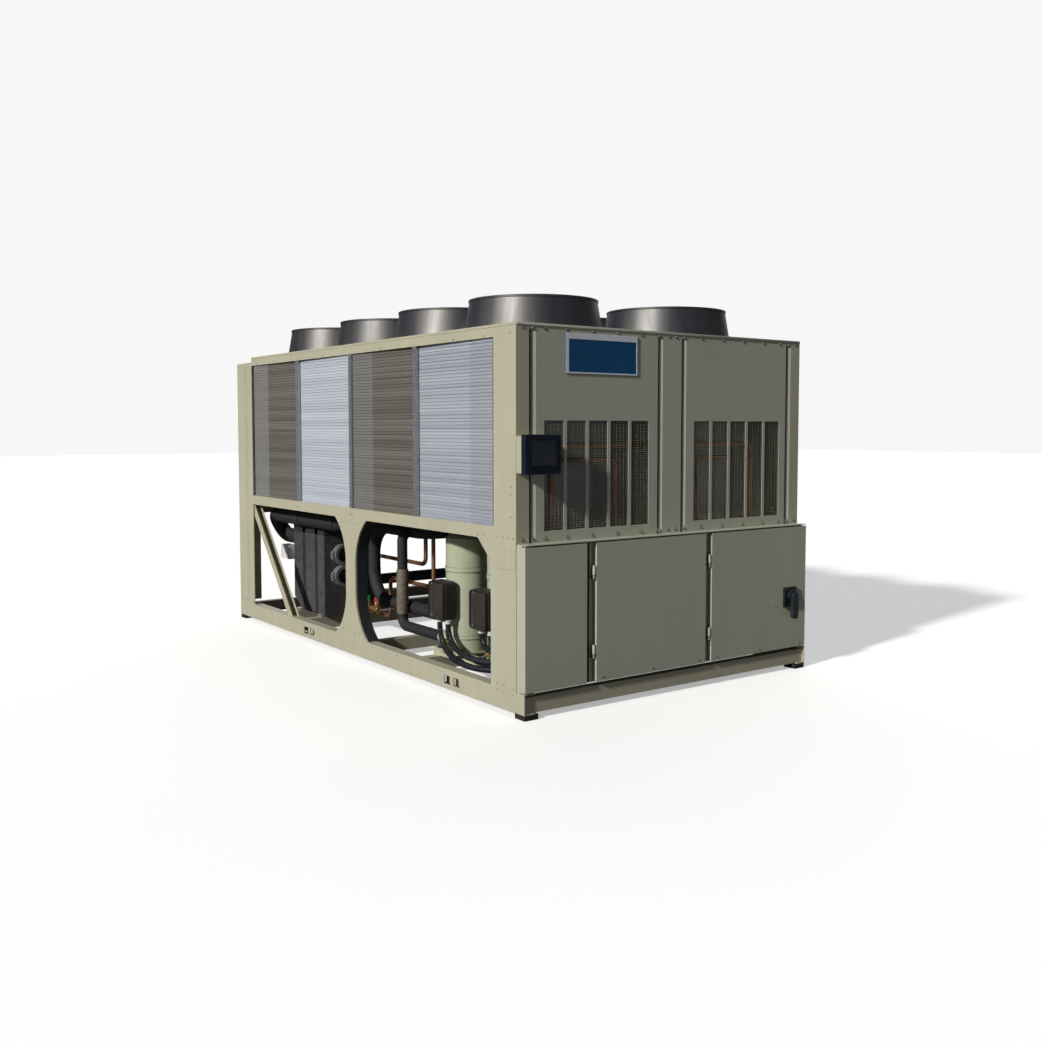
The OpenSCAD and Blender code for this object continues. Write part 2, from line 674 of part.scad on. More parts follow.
// Copper liquid pipes and their filter driers
module liquid_lines() color(copper) at_end() {
    both_sides() pipe_run([[-330, 120, roof_z], [-330, 120, 1370], [-640, 120, 1370],
        [-640, bay_y0 + 4, 1370]], liquid_r, 40);
    for (p = [[-700, evap_y0 - 465, 630, 230], [-640, evap_y0 - 545, 470, 185]])
        pipe_run([[p[0], riser_y, beam_top], [p[0], riser_y, p[2]], [p[0], p[1], p[2]], [p[0], p[1], p[3]],
            [p[0], evap_y0, p[3]]], liquid_r, 50);
}

// Flexible conduits that sweep from the terminal boxes down and forward into the cabinet
module power_conduits() color(black) at_end() both_sides() {
    x = -comp_x - 175;
    for (c = [[comp_ys[1] + 20, 190, 140], [comp_ys[1] - 40, 235, 140], [comp_ys[0] + 12, 295, 80]])
        pipe_run([[x, c[0], box_z0], [x, c[0], c[1]], [x, cabinet_in, c[1]]], conduit_r, c[2]);
}

// Small white box on a bracket behind the evaporator
module junction_box() color([0.85, 0.85, 0.84]) at_end() {
    slab([evap_x0 - 10, evap_y1 + 75, 510], [evap_x0 + 60, evap_y1 + 235, 620]);
    slab([evap_x0 + 60, evap_y1, 530], [evap_x0 + 64, evap_y1 + 215, 600]);
}

left_base_rail();
right_base_rail();
end_base_rails();
cross_members();
corner_feet();
left_front_post();
right_front_post();
mid_columns();
rear_posts();
rear_cap();
rear_sill();
coil_beams();
top_rails();
rear_bay_braces();
left_coils();
right_coils();
coil_dividers();
plenum_bulkheads();
plenum_floor();
fan_deck();
fan_shrouds();
fan_guards();
fan_rotors();
fan_motors();
left_grille_panel();
right_grille_panel();
front_centre_post();
rear_end_panels();
name_plate();
display_housing();
display_bracket();
control_cabinet();
left_cover_panel();
door_hinges();
middle_door();
right_door();
disconnect_base();
disconnect_handle();
left_compressors();
right_compressors();
terminal_boxes();
compressor_rails();
evaporator();
evaporator_stand();
water_nozzles();
water_couplings();
suction_lines();
discharge_lines();
liquid_lines();
power_conduits();
junction_box();
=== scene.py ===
# %% [markdown]
# # Dressing an air cooled chiller
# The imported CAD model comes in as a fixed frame: every sheet, post and pipe already has its true size.
# This lesson adds what the eye looks for on the real machine: paint, zinc, fins, wire, bolts and hoses.
# It could all be drawn in the CAD model, but small repeated detail is quicker and lighter as mesh.

# %% Load the frame
import json
from math import asin, cos, pi, radians, sin

import bpy
from mathutils import Matrix, Vector


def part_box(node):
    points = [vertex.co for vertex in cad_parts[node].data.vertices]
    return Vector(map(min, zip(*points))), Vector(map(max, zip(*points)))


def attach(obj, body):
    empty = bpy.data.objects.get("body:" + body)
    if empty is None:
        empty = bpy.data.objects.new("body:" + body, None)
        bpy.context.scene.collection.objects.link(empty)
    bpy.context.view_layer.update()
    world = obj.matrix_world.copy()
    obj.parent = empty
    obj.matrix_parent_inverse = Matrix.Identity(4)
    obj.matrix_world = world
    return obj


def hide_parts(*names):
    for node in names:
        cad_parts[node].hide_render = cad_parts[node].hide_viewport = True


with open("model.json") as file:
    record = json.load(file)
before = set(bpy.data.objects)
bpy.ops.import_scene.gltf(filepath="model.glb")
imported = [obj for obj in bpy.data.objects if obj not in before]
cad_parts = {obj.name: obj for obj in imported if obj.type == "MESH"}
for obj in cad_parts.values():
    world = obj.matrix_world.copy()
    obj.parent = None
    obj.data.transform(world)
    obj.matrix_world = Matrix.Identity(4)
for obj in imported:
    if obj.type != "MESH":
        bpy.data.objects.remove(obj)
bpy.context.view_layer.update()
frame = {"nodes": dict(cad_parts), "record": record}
nodes = frame["nodes"]

# %% [markdown]
# ## Camera
# The view is a three-quarter one from the cabinet end, a little above head height of the doors.
# A camera can be aimed by eye, but here its place, turn and lens come from fitting the frame's own edges,
# so the model lands on the same pixels. The small shift only recentres the crop.

# %% Camera
PICTURE, SENSOR = 1042, 36
FOCAL, CENTRE_X, CENTRE_Y = 1088.1, 530.55, 494.91
YAW, PITCH = 36.187, -3.502
END_Y = -1.88
data = bpy.data.cameras.new("view")
data.sensor_width = SENSOR
data.lens = FOCAL / PICTURE * SENSOR
data.shift_x = (PICTURE / 2 - CENTRE_X) / PICTURE
data.shift_y = (CENTRE_Y - PICTURE / 2) / PICTURE
data.clip_end = 200
camera = bpy.data.objects.new("view", data)
camera.location = (-4.4367, END_Y - 4.6638, 1.5476)
camera.rotation_euler = (radians(90 + PITCH), 0, radians(-YAW))
bpy.context.collection.objects.link(camera)
bpy.context.scene.camera = camera
print("lens", round(data.lens, 2))

# %% [markdown]
# ## Shader arithmetic
# A finish is a small sum of patterns: noise plus streaks, times a mask.
# Wiring such sums node by node hides the idea, so one small class wraps a socket
# and lets plain + - * work on it. Every other kind of node comes from its make method.


# %% Socket class
class Sock:
    def __init__(self, tree, out=None):
        self.tree = tree
        self.out = out

    def make(self, kind, settings=(), ins=(), out=0):
        node = self.tree.nodes.new("ShaderNode" + kind)
        for name, value in dict(settings).items():
            setattr(node, name, value)
        for name, value in dict(ins).items():
            if isinstance(value, Sock):
                self.tree.links.new(value.out, node.inputs[name])
            else:
                node.inputs[name].default_value = value
        return Sock(self.tree, node.outputs[out])

    def sum(self, kind, a, b):
        return self.make("Math", {"operation": kind}, {0: a, 1: b})

    def __add__(self, other):
        return self.sum("ADD", self, other)

    def __sub__(self, other):
        return self.sum("SUBTRACT", self, other)

    def __rsub__(self, other):
        return self.sum("SUBTRACT", other, self)

    def __mul__(self, other):
        return self.sum("MULTIPLY", self, other)

    __radd__ = __add__
    __rmul__ = __mul__

    def between(self, low, high):
        return self.make("MapRange", {}, {"Value": self, 1: low, 2: high}, "Result")

    def blend(self, a, b):
        return self.make("Mix", {"data_type": "RGBA"}, {0: self, 6: a, 7: b}, 2)


def rgb(r, g, b):
    return (r, g, b, 1)


class Finish:
    """A new material with its object coordinates and the patterns that most finishes share."""

    def __init__(self, name, roughness, metallic=0.0, **sockets):
        self.mat = bpy.data.materials.new(name)
        self.mat.use_nodes = True
        tree = self.mat.node_tree
        self.shader = tree.nodes["Principled BSDF"]
        self.base = Sock(tree)
        self.place = self.base.make("TexCoord", out="Object")
        parts = self.base.make("SeparateXYZ", {}, {0: self.place}).out.node
        self.y = Sock(tree, parts.outputs["Y"])
        self.z = Sock(tree, parts.outputs["Z"])
        self.shader.inputs["Roughness"].default_value = roughness
        self.shader.inputs["Metallic"].default_value = metallic
        for socket, value in sockets.items():
            self.shader.inputs[socket.replace("_", " ")].default_value = value

    def noise(self, scale, detail=3.0, stretch=(1, 1, 1)):
        where = self.base.make("Mapping", {}, {"Vector": self.place, "Scale": stretch})
        return self.base.make("TexNoise", {}, {"Vector": where, "Scale": scale, "Detail": detail})

    def wave(self, line, pitch):
        return self.base.make("Math", {"operation": "SINE"}, {0: line * (2 * pi / pitch)}) * 0.5 + 0.5

    def feed(self, socket, value):
        self.base.tree.links.new(value.out, self.shader.inputs[socket])

    def bump(self, height, depth, strength):
        ins = {"Height": height, "Distance": depth, "Strength": strength}
        self.feed("Normal", self.base.make("Bump", {}, ins))


print("shader helper ready")

# %% [markdown]
# ## Studio
# One key from the left, only just in front of the cabinet end, gives the bright long side and the shaded
# end. A wide weak fill from the far side keeps the other two sides readable, and the room adds little.
# The floor and the world look pale to the camera and are calmer for the light that bounces.


# %% Studio
def sun(name, come_from, energy, spread, colour):
    lamp = bpy.data.lights.new(name, "SUN")
    lamp.energy = energy
    lamp.angle = radians(spread)
    lamp.color = colour
    obj = bpy.data.objects.new(name, lamp)
    obj.rotation_euler = Vector(come_from).to_track_quat("Z", "Y").to_euler()
    bpy.context.collection.objects.link(obj)
    print(name, energy)


scene = bpy.context.scene
scene.view_settings.view_transform = "Standard"
sun("key", (-0.86, -0.155, 0.46), 3.25, 4, (1.0, 0.985, 0.95))
sun("fill", (0.62, 0.68, 0.40), 0.9, 70, (0.96, 0.98, 1.0))

world = bpy.data.worlds.new("room")
scene.world = world
world.use_nodes = True
room = world.node_tree
seen = Sock(room).make("LightPath", out="Is Camera Ray")
through = Sock(room, seen.out.node.outputs["Is Transmission Ray"])
pale = seen.sum("MAXIMUM", seen, through)
tone = pale.blend(rgb(0.085, 0.09, 0.10), rgb(0.93, 0.93, 0.93))
room.links.new(tone.out, room.nodes["Background"].inputs["Color"])
print("room", world.name)

# %% [markdown]
# ## Powder coat
# The frame and the panels carry one grey-beige powder coat; the panels' copy is tinted cooler and
# greener, which paints the shade on the ends and doors. Up close it has a fine orange peel, broad
# weathering, rain streaks that run down, and road dust that rises from the floor.
# A flat colour would look like plastic, so noise at three scales is mixed in gently.


# %% Powder coat
def powder_coat(name, light, dusk):
    f = Finish(name, 0.48, Specular_IOR_Level=0.4)
    broad = f.noise(1.6, 4)
    streak = f.noise(9.0, 5, (1, 1, 0.06))
    mix = broad * 0.55 + streak * 0.45
    tint = mix.between(0.30, 0.72).blend(rgb(*light), rgb(*dusk))
    dust = (1 - f.z.between(0.0, 0.42)) * f.noise(14.0, 6).between(0.38, 0.72) * 0.32
    f.feed("Base Color", dust.blend(tint, rgb(0.36, 0.32, 0.25)))
    f.feed("Roughness", f.noise(22.0, 4) * 0.22 + 0.36)
    f.bump(f.noise(420.0, 2), 0.0006, 0.35)
    return f.mat


frame_paint = powder_coat("frame_powder_coat", (0.528, 0.506, 0.372), (0.468, 0.446, 0.328))
# Painted shade: the same powder coat, tinted cooler and greener for the panels and doors of the shaded ends.
panel_paint = powder_coat("panel_powder_coat_shade_tint", (0.512, 0.522, 0.418), (0.460, 0.470, 0.380))
print("paints", frame_paint.name, panel_paint.name)

# %% [markdown]
# ## Zinc, fins and copper
# Galvanised sheet shows crystals, which a Voronoi pattern gives. The coil is a stack of flat tubes with
# folded fins between; the fins are far finer than a pixel, so they are lines in the finish and the tubes
# are real strips added later. The coils are one material, but alternate bays get a painted lit tone and
# a painted shade tone. Copper is warm metal with darker patches.


# %% Zinc, fins and copper
def zinc():
    f = Finish("galvanised_sheet", 0.42, 0.75)
    cell = f.base.make("TexVoronoi", {}, {"Vector": f.place, "Scale": 70.0}, "Color")
    shade = f.base.make("SeparateColor", {}, {0: cell})
    crystal = shade * 0.6 + f.noise(5.0) * 0.4
    f.feed("Base Color", crystal.blend(rgb(0.30, 0.32, 0.33), rgb(0.47, 0.49, 0.50)))
    f.feed("Roughness", shade * 0.2 + 0.34)
    return f.mat


FRONT_POST_W, BAY_L = 0.21, 0.8475
BAY_Y0 = FRONT_POST_W + END_Y
TUBE_PITCH = 0.0195


def fins():
    f = Finish("coil_fins", 0.5, 0.35)
    # Painted light and shade: counted from the front, bays one and three take a painted lit tone, bay three
    # the brightest, and bays two and four a painted shade tone.
    bay = (f.y - BAY_Y0) * (1 / BAY_L)
    index = f.base.make("Math", {"operation": "FLOOR"}, {0: bay})
    along = bay - index
    painted_shade_bays = f.base.make("Math", {"operation": "MODULO"}, {0: index, 1: 2.0})
    # Painted light and shade inside the bays: a darker strip at the front of each lit bay, and a paler far
    # third in each shaded bay.
    shadow_strip = 1 - along.between(0.655, 0.66)
    painted_shade_near_strip = 1 - along.between(0.295, 0.30)
    level = f.base.make("Math", {"operation": "FLOOR"}, {0: f.z * (1 / TUBE_PITCH)})
    tube = f.base.make("TexWhiteNoise", {"noise_dimensions": "1D"}, {"W": level + index * 37.0})
    smear = f.noise(7.0, 3, (1, 0.25, 6))
    vary = tube * 0.55 + smear * 0.3
    bright = vary.between(0.1, 0.8).blend(rgb(0.44, 0.465, 0.53), rgb(0.62, 0.645, 0.71))
    bright = (painted_shade_near_strip * 0.45).blend(bright, rgb(0.40, 0.41, 0.475))
    painted_brightest_bay = vary.between(0.1, 0.8).blend(rgb(0.60, 0.645, 0.72), rgb(0.76, 0.81, 0.89))
    bright = index.between(0.5, 1.5).blend(bright, painted_brightest_bay)
    dark = vary.between(0.1, 0.8).blend(rgb(0.150, 0.137, 0.117), rgb(0.270, 0.248, 0.220))
    paler_far_third_tone = index.between(1.5, 2.5).blend(rgb(0.30, 0.297, 0.297), rgb(0.37, 0.37, 0.39))
    dark = ((1 - shadow_strip) * 0.6).blend(dark, paler_far_third_tone)
    f.feed("Base Color", painted_shade_bays.blend(bright, dark))
    f.bump(f.wave(f.y, 0.0032), 0.0012, 0.5)
    return f.mat


def copper():
    f = Finish("copper_pipe", 0.38, 0.85)
    tarnish = f.noise(18.0, 5).between(0.35, 0.75)
    f.feed("Base Color", tarnish.blend(rgb(0.62, 0.30, 0.17), rgb(0.30, 0.13, 0.08)))
    f.feed("Roughness", f.noise(40.0) * 0.3 + 0.25)
    return f.mat


galvanised = zinc()
coil_fins = fins()
copper_pipe = copper()
print("metals", galvanised.name, coil_fins.name, copper_pipe.name)

# %% [markdown]
# ## Plastics, castings and rubber
# The fan shrouds are black moulded plastic with a wide soft sheen and faint upright flow marks.
# The rest are plain shop finishes: coated wire, gloss enamel on the compressors, closed cell foam,
# cast iron, white plastic and pad rubber. One function with a few values serves them all.


# %% Plastics, castings and rubber
def shop_finish(name, dark, light, rough, grain, depth, metallic=0.0, stretch=(1, 1, 1), **sockets):
    f = Finish(name, rough, metallic, **sockets)
    mottle = f.noise(grain, 4, stretch)
    patches = (mottle * 0.7 + f.noise(2.5) * 0.3).between(0.32, 0.68)
    f.feed("Base Color", patches.blend(rgb(*dark), rgb(*light)))
    f.feed("Roughness", mottle * 0.24 + (rough - 0.12))
    f.bump(f.noise(grain * 6, 2), depth, 0.5)
    return f.mat


black_plastic = shop_finish("black_moulding", (0.008, 0.013, 0.020), (0.016, 0.021, 0.029), 0.34, 26, 0.0006,
                            stretch=(1, 1, 0.05), Coat_Weight=0.5, Coat_Roughness=0.25)
shroud_black = shop_finish("shroud_black", (0.004, 0.008, 0.016), (0.010, 0.014, 0.022), 0.48, 16, 0.0006,
                           stretch=(1, 1, 0.04), Specular_IOR_Level=1.0, IOR=1.65,
                           Specular_Tint=rgb(1.0, 0.95, 0.90))
display_black = shop_finish("display_black", (0.005, 0.010, 0.021), (0.008, 0.014, 0.027), 0.45, 30, 0.0004,
                            Specular_IOR_Level=0.3)
black_steel = shop_finish("black_coated_steel", (0.018, 0.018, 0.020), (0.035, 0.035, 0.038), 0.45, 60,
                          0.0005)
mesh_grey = shop_finish("grille_wire", (0.24, 0.235, 0.19), (0.36, 0.35, 0.28), 0.5, 60, 0.0004)
blue_plate = shop_finish("blue_plate", (0.008, 0.080, 0.200), (0.012, 0.095, 0.240), 0.4, 8, 0.0003,
                         Specular_IOR_Level=0.2)
# Near white: partly the border's own colour, partly a painted highlight.
plate_rim = shop_finish("plate_rim", (0.72, 0.77, 0.86), (0.82, 0.86, 0.92), 0.4, 30, 0.0003)
compressor_paint = shop_finish("compressor_enamel", (0.45, 0.475, 0.33), (0.52, 0.54, 0.385), 0.30, 7,
                               0.0006, Coat_Weight=0.3)
insulation = shop_finish("foam_insulation", (0.012, 0.013, 0.016), (0.027, 0.027, 0.031), 0.72, 45, 0.0030)
wrap = shop_finish("evaporator_wrap", (0.043, 0.041, 0.046), (0.090, 0.086, 0.094), 0.62, 18, 0.0025)
cast_metal = shop_finish("cast_metal", (0.20, 0.20, 0.20), (0.34, 0.34, 0.33), 0.5, 90, 0.0016, 0.5)
white_plastic = shop_finish("white_plastic", (0.70, 0.70, 0.68), (0.80, 0.80, 0.78), 0.4, 30, 0.0004)
pad_rubber = shop_finish("pad_rubber", (0.014, 0.014, 0.014), (0.030, 0.030, 0.028), 0.8, 50, 0.0015)
tan_sleeve = shop_finish("tan_sleeve", (0.12, 0.10, 0.075), (0.22, 0.185, 0.14), 0.6, 40, 0.0015)
brass = shop_finish("brass_fittings", (0.42, 0.30, 0.12), (0.58, 0.43, 0.19), 0.32, 60, 0.0004, 0.8)
cap_red = shop_finish("red_caps", (0.45, 0.02, 0.02), (0.55, 0.04, 0.03), 0.4, 40, 0.0003)
cap_green = shop_finish("green_caps", (0.02, 0.22, 0.06), (0.04, 0.30, 0.09), 0.4, 40, 0.0003)
box_black = shop_finish("terminal_box_black", (0.026, 0.021, 0.019), (0.042, 0.036, 0.033), 0.5, 35, 0.0008)
screen_glass = shop_finish("screen_glass", (0.008, 0.012, 0.020), (0.012, 0.018, 0.028), 0.12, 4, 0.0001,
                           Coat_Weight=0.6)
print("finishes", len(bpy.data.materials))

# %% [markdown]
# ## Dress the CAD nodes
# Each node names a material slot in the record, so the finish can be handed out by slot.
# A few nodes differ from their slot's usual look and are given their own finish by name.

# %% Dress the CAD nodes
by_slot = {
    "frame_paint": frame_paint, "panel_paint": panel_paint, "galvanised": galvanised, "coil_fins": coil_fins,
    "black_plastic": black_plastic, "black_steel": black_steel, "blue_plate": blue_plate,
    "compressor_paint": compressor_paint, "insulation": insulation, "copper_pipe": copper_pipe,
    "cast_metal": cast_metal, "white_plastic": white_plastic, "pad_rubber": pad_rubber,
}
by_name = {"evaporator": wrap, "terminal_boxes": box_black, "fan_shrouds": shroud_black,
           "display_housing": display_black}
for part in frame["record"]["subparts"]:
    obj = nodes[part["node"]]
    obj.data.materials.clear()
    obj.data.materials.append(by_name.get(part["node"], by_slot[part["material_slot"]]))
print("dressed", len(nodes))

# %% [markdown]
# ## Workshop helpers
# Pieces start from primitives, as by hand, and are shaped in edit mode. These helpers hold the steps that
# come up again: a block with broken edges, a rod between two points, a ring, copies of a master,
# and the last step that joins the parts, dresses them and lets them ride on a body.


# %% Workshop helpers
def clear():
    if bpy.context.mode != "OBJECT":
        bpy.ops.object.mode_set(mode="OBJECT")
    bpy.ops.object.select_all(action="DESELECT")


def settle(obj):
    clear()
    obj.select_set(True)
    bpy.context.view_layer.objects.active = obj
    bpy.ops.object.transform_apply(location=True, rotation=True, scale=True)
    return obj


def break_edges(obj, width, steps=1):
    bpy.ops.object.mode_set(mode="EDIT")
    bpy.ops.mesh.select_all(action="SELECT")
    bpy.ops.mesh.bevel(offset=width, segments=steps, affect="EDGES")
    bpy.ops.object.mode_set(mode="OBJECT")
    return obj


def pick(obj, kind, test):
    bpy.ops.object.mode_set(mode="EDIT")
    bpy.ops.mesh.select_all(action="DESELECT")
    bpy.ops.object.mode_set(mode="OBJECT")
    for item in getattr(obj.data, kind):
        item.select = test(item)
    bpy.ops.object.mode_set(mode="EDIT")


def face_outwards(obj):
    settle(obj)
    bpy.ops.object.mode_set(mode="EDIT")
    bpy.ops.mesh.select_all(action="SELECT")
    bpy.ops.mesh.normals_make_consistent(inside=False)
    bpy.ops.object.mode_set(mode="OBJECT")


def block(lo, hi, edge=0.0, steps=1):
    clear()
    lo, hi = Vector(lo), Vector(hi)
    bpy.ops.mesh.primitive_cube_add(size=1, location=(lo + hi) / 2, scale=hi - lo)
    obj = settle(bpy.context.object)
    return break_edges(obj, edge, steps) if edge else obj


def rod(a, b, r, sides):
    clear()
    a, b = Vector(a), Vector(b)
    turn = (b - a).to_track_quat("Z", "Y").to_euler()
    bpy.ops.mesh.primitive_cylinder_add(vertices=sides, radius=r, depth=(b - a).length,
                                        location=(a + b) / 2, rotation=turn)
    return settle(bpy.context.object)


def turned(a, b, r, sides, edge, steps=1):
    return break_edges(rod(a, b, r, sides), edge, steps)


def ring(centre, r, wire, turns, sides):
    clear()
    bpy.ops.mesh.primitive_torus_add(major_radius=r, minor_radius=wire, major_segments=turns,
                                     minor_segments=sides, location=centre)
    return settle(bpy.context.object)


def join(parts):
    clear()
    for part in parts:
        part.select_set(True)
    bpy.context.view_layer.objects.active = parts[0]
    if len(parts) > 1:
        bpy.ops.object.join()
    return bpy.context.object


def copies(master, places):
    made = []
    for place in places:
        obj = master.copy()
        obj.data = master.data.copy()
        obj.data.transform(place)
        bpy.context.collection.objects.link(obj)
        made.append(obj)
    bpy.data.objects.remove(master)
    return made


SMOOTH_BELOW = radians(35)


def piece(name, parts, finish, body="chiller", stands_for=()):
    obj = join(parts)
    obj.name = name
    obj.data.name = name
    obj.data.materials.clear()
    obj.data.materials.append(finish)
    bpy.ops.object.shade_smooth_by_angle(angle=SMOOTH_BELOW)
    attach(obj, body)
    if stands_for:
        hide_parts(*stands_for)
    print(name, len(obj.data.polygons), "faces")


def both(parts):
    mirrored = []
    for part in parts:
        mirrored += copies(part, [UP, Matrix.Scale(-1, 4, (1, 0, 0))])
    for obj in mirrored[1::2]:
        face_outwards(obj)
    return mirrored


def at(x, y, z):
    return Vector((x, y + END_Y, z))


def shift(x, y, z):
    return Matrix.Translation(at(x, y, z))


SIDES = (-1, 1)
HALF_W = 1.12
FACING_LEFT = Matrix.Rotation(radians(-90), 4, "Y")
FACING_RIGHT = Matrix.Rotation(radians(90), 4, "Y")
FACING_FRONT = Matrix.Rotation(radians(90), 4, "X")
FACING_REAR = Matrix.Rotation(radians(-90), 4, "X")
UP = Matrix.Identity(4)
print("workshop ready, half width", HALF_W)

# %% [markdown]
# ## Coil tubes
# Each side bay holds a coil: flat tubes lie level, one above the other, with fins folded between them.
# The slab of fins is in the CAD model. The tubes could be lines in the finish, but their thin bright
# edges break the light at a shallow angle, so one strip is modelled and copied up the coil.

# %% Coil tubes
COIL_Z0, COIL_Z1 = 1.015, 2.038
COIL_L = BAY_L - 0.046
FAN_YS = [FRONT_POST_W + BAY_L * (i + 0.5) for i in range(4)]
COIL_LEAN = asin(0.012 / (BAY_L - 0.040))
strip = block((-0.0185, -COIL_L / 2, 0.0), (-0.0145, COIL_L / 2, 0.0040), 0.0008)
rows = int((COIL_Z1 - COIL_Z0) / TUBE_PITCH)
coil_face = join(copies(strip, [Matrix.Translation((0, 0, 0.006 + i * TUBE_PITCH)) for i in range(rows)]))
places = []
for side in SIDES:
    for i, y in enumerate(FAN_YS):
        lean = Matrix.Rotation((-1 if i % 2 == 0 else 1) * COIL_LEAN, 4, "Z")
        mirror = Matrix.Scale(side * -1, 4, (1, 0, 0))
        places.append(mirror @ shift(-HALF_W + 0.033, y, COIL_Z0) @ lean)
tubes = copies(coil_face, places)
for tube in tubes[4:]:
    face_outwards(tube)
piece("left_coil_tubes", tubes[:4], coil_fins)
piece("right_coil_tubes", tubes[4:], coil_fins)

# %% [markdown]
# ## Wire fan guards
# Every fan opening is closed by a guard of thin rings welded to straight wires.
# The CAD model holds a few square bars for collision. The real guard is a family of rings, so one guard
# is made from torus rings and rods and copied to the eight fans, and it stands for the CAD node.

# %% Wire fan guards
DECK_Z = 2.105
SHROUD_H = 0.200
GUARD_Z = DECK_Z + SHROUD_H - 0.012
FAN_X = 0.54
HUB_RING, RIM, RING_COUNT = 0.062, 0.366, 14
WIRE = 0.0022
ring_step = (RIM - HUB_RING) / (RING_COUNT - 1)
parts = [ring((0, 0, 0), HUB_RING + i * ring_step, WIRE, 40, 5) for i in range(RING_COUNT)]
for i in range(6):
    a = radians(i * 30)
    reach = Vector((cos(a), sin(a), 0)) * (RIM + 0.006)
    drop = Vector((0, 0, -2 * WIRE))
    parts.append(rod(-reach + drop, reach + drop, 0.003, 6))
guard = join(parts)
fans = [shift(side * FAN_X, y, GUARD_Z) for side in SIDES for y in FAN_YS]
piece("wire_fan_guards", copies(guard, fans), black_steel, stands_for=["fan_guards"])

# %% [markdown]
# ## Grille mesh
# Behind the five tall openings of each front panel sits welded wire mesh that lets air through.
# A transparent texture would do from far away, but real wires cast their own shadows,
# so one opening's mesh is made from thin rods and copied to the ten openings.

# %% Grille mesh
GRILLE_W, GRILLE_H, GRILLE_PITCH = 0.133, 0.595, 0.155
GRILLE_Z0 = 0.934 + 0.061
PANEL_X0, PANEL_X1 = 0.113, 0.990
MESH = 0.0127
parts = [rod((-GRILLE_W / 2 - 0.006, 0, 0), (GRILLE_W / 2 + 0.006, 0, 0), 0.0013, 5)]
parts = copies(parts[0], [Matrix.Translation((0, 0, i * MESH)) for i in range(int(GRILLE_H / MESH) + 1)])
post = rod((0, 0.0022, -0.006), (0, 0.0022, GRILLE_H + 0.006), 0.0010, 5)
parts += copies(post, [Matrix.Translation((-GRILLE_W / 2 + i * MESH * 2, 0, 0)) for i in range(6)])
mesh = join(parts)
mid = (PANEL_X0 + PANEL_X1) / 2 + 0.006
places = [shift(side * (mid + i * GRILLE_PITCH), 0.0045, GRILLE_Z0) for side in SIDES for i in range(-2, 3)]
piece("grille_mesh", copies(mesh, places), mesh_grey)

# %% [markdown]
# ## Bolts
# The sheet metal is held by small flanged hexagon bolts in rows. One bolt is shaped from a six-sided
# cylinder with a broken top edge on a thin flange, and copied to every row, each copy with its own mesh.


# %% Bolts
def bolt(size):
    head = turned((0, 0, 0.001), (0, 0, size * 0.45), size * 0.62, 6, size * 0.08)
    flange = rod((0, 0, 0), (0, 0, size * 0.16), size, 14)
    return join([head, flange])


def bolts(name, facing, points, size, finish=galvanised, body="chiller"):
    places = [Matrix.Translation(p) @ facing for p in points]
    piece(name, copies(bolt(size), places), finish, body)


FRONT_XS = [0.03, 0.10, 0.24, 0.42, 0.60, 0.78, 0.93, 1.01, 1.08]
points = []
for side in SIDES:
    points += [at(side * x, 0, 2.080) for x in FRONT_XS]
    points += [at(side * x, 0, 0.956) for x in FRONT_XS]
bolts("front_panel_bolts", FACING_FRONT, points, 0.011)
points = [at(side * x, 3.90, z) for side in SIDES for x in FRONT_XS for z in (2.045, 0.956)]
bolts("rear_panel_bolts", FACING_REAR, points, 0.011)
side_points = [(y, 2.052) for y in (0.06, 0.30, 0.62, 1.06, 1.48, 1.90, 2.32, 2.75, 3.16, 3.50)]
side_points += [(y + d, 0.975) for y in (1.0575, 1.905, 2.7525) for d in (-0.014, 0.014)]
side_points += [(y, z) for y in (0.045, 0.105, 0.165) for z in (0.82, 0.862, 0.904)]
side_points += [(y, 0.965) for y in (0.03, 0.08, 0.13, 0.18, 0.24, 0.31, 0.37)]
side_points += [(y, z) for y in (0.03, 0.12, 0.185) for z in (0.162, 0.125)]
side_points += [(y, z) for y in (1.80, 1.86, 1.98, 2.04) for z in (0.185, 0.920)]
side_points += [(y, 0.165) for y in (3.63, 3.76, 3.86)]
side_points += [(y, 0.125) for y in (0.90, 1.30, 2.90, 3.30, 3.62)]
side_points += [(0.05, z) for z in (1.08, 1.20, 1.24)]
points = [at(-HALF_W, y, z) for y, z in side_points]
bolts("left_side_bolts", FACING_LEFT, points, 0.010, frame_paint)
points = [at(HALF_W, y, z) for y, z in side_points]
bolts("right_side_bolts", FACING_RIGHT, points, 0.010, frame_paint)

# %% [markdown]
# ## Front seams
# The front panels are folded trays, so each left edge shows a lit return beside a narrow gap,
# and a black strip in each gap paints the shade there.
# The return is a bar whose outer front edge is pushed back in edit mode, which makes the sloping fold.
# A low trim finishes the roof edge, plates close the pipe chase above the cabinet roof, thin trims run
# along the long sides, and a plate stands behind each pair of lifting slots.

# %% Front seams
PANEL_Z0, PANEL_Z1 = 0.936, 2.072
PROUD = 0.0022


def fold(x, wide, back):
    lo, hi = at(x - wide, 0.0004, PANEL_Z0), at(x, 0.029, PANEL_Z1)
    bar = block(lo, hi)
    pick(bar, "vertices", lambda v: v.co.x < x - wide / 2 and v.co.y < lo.y + 0.01)
    bpy.ops.transform.translate(value=(0, back, 0))
    bpy.ops.object.mode_set(mode="OBJECT")
    return bar


EDGES = [(-0.990, 0.030), (-0.075, 0.024), (0.113, 0.024), (1.035, 0.030)]
piece("panel_folds", [fold(x, wide, 0.010) for x, wide in EDGES], panel_paint)
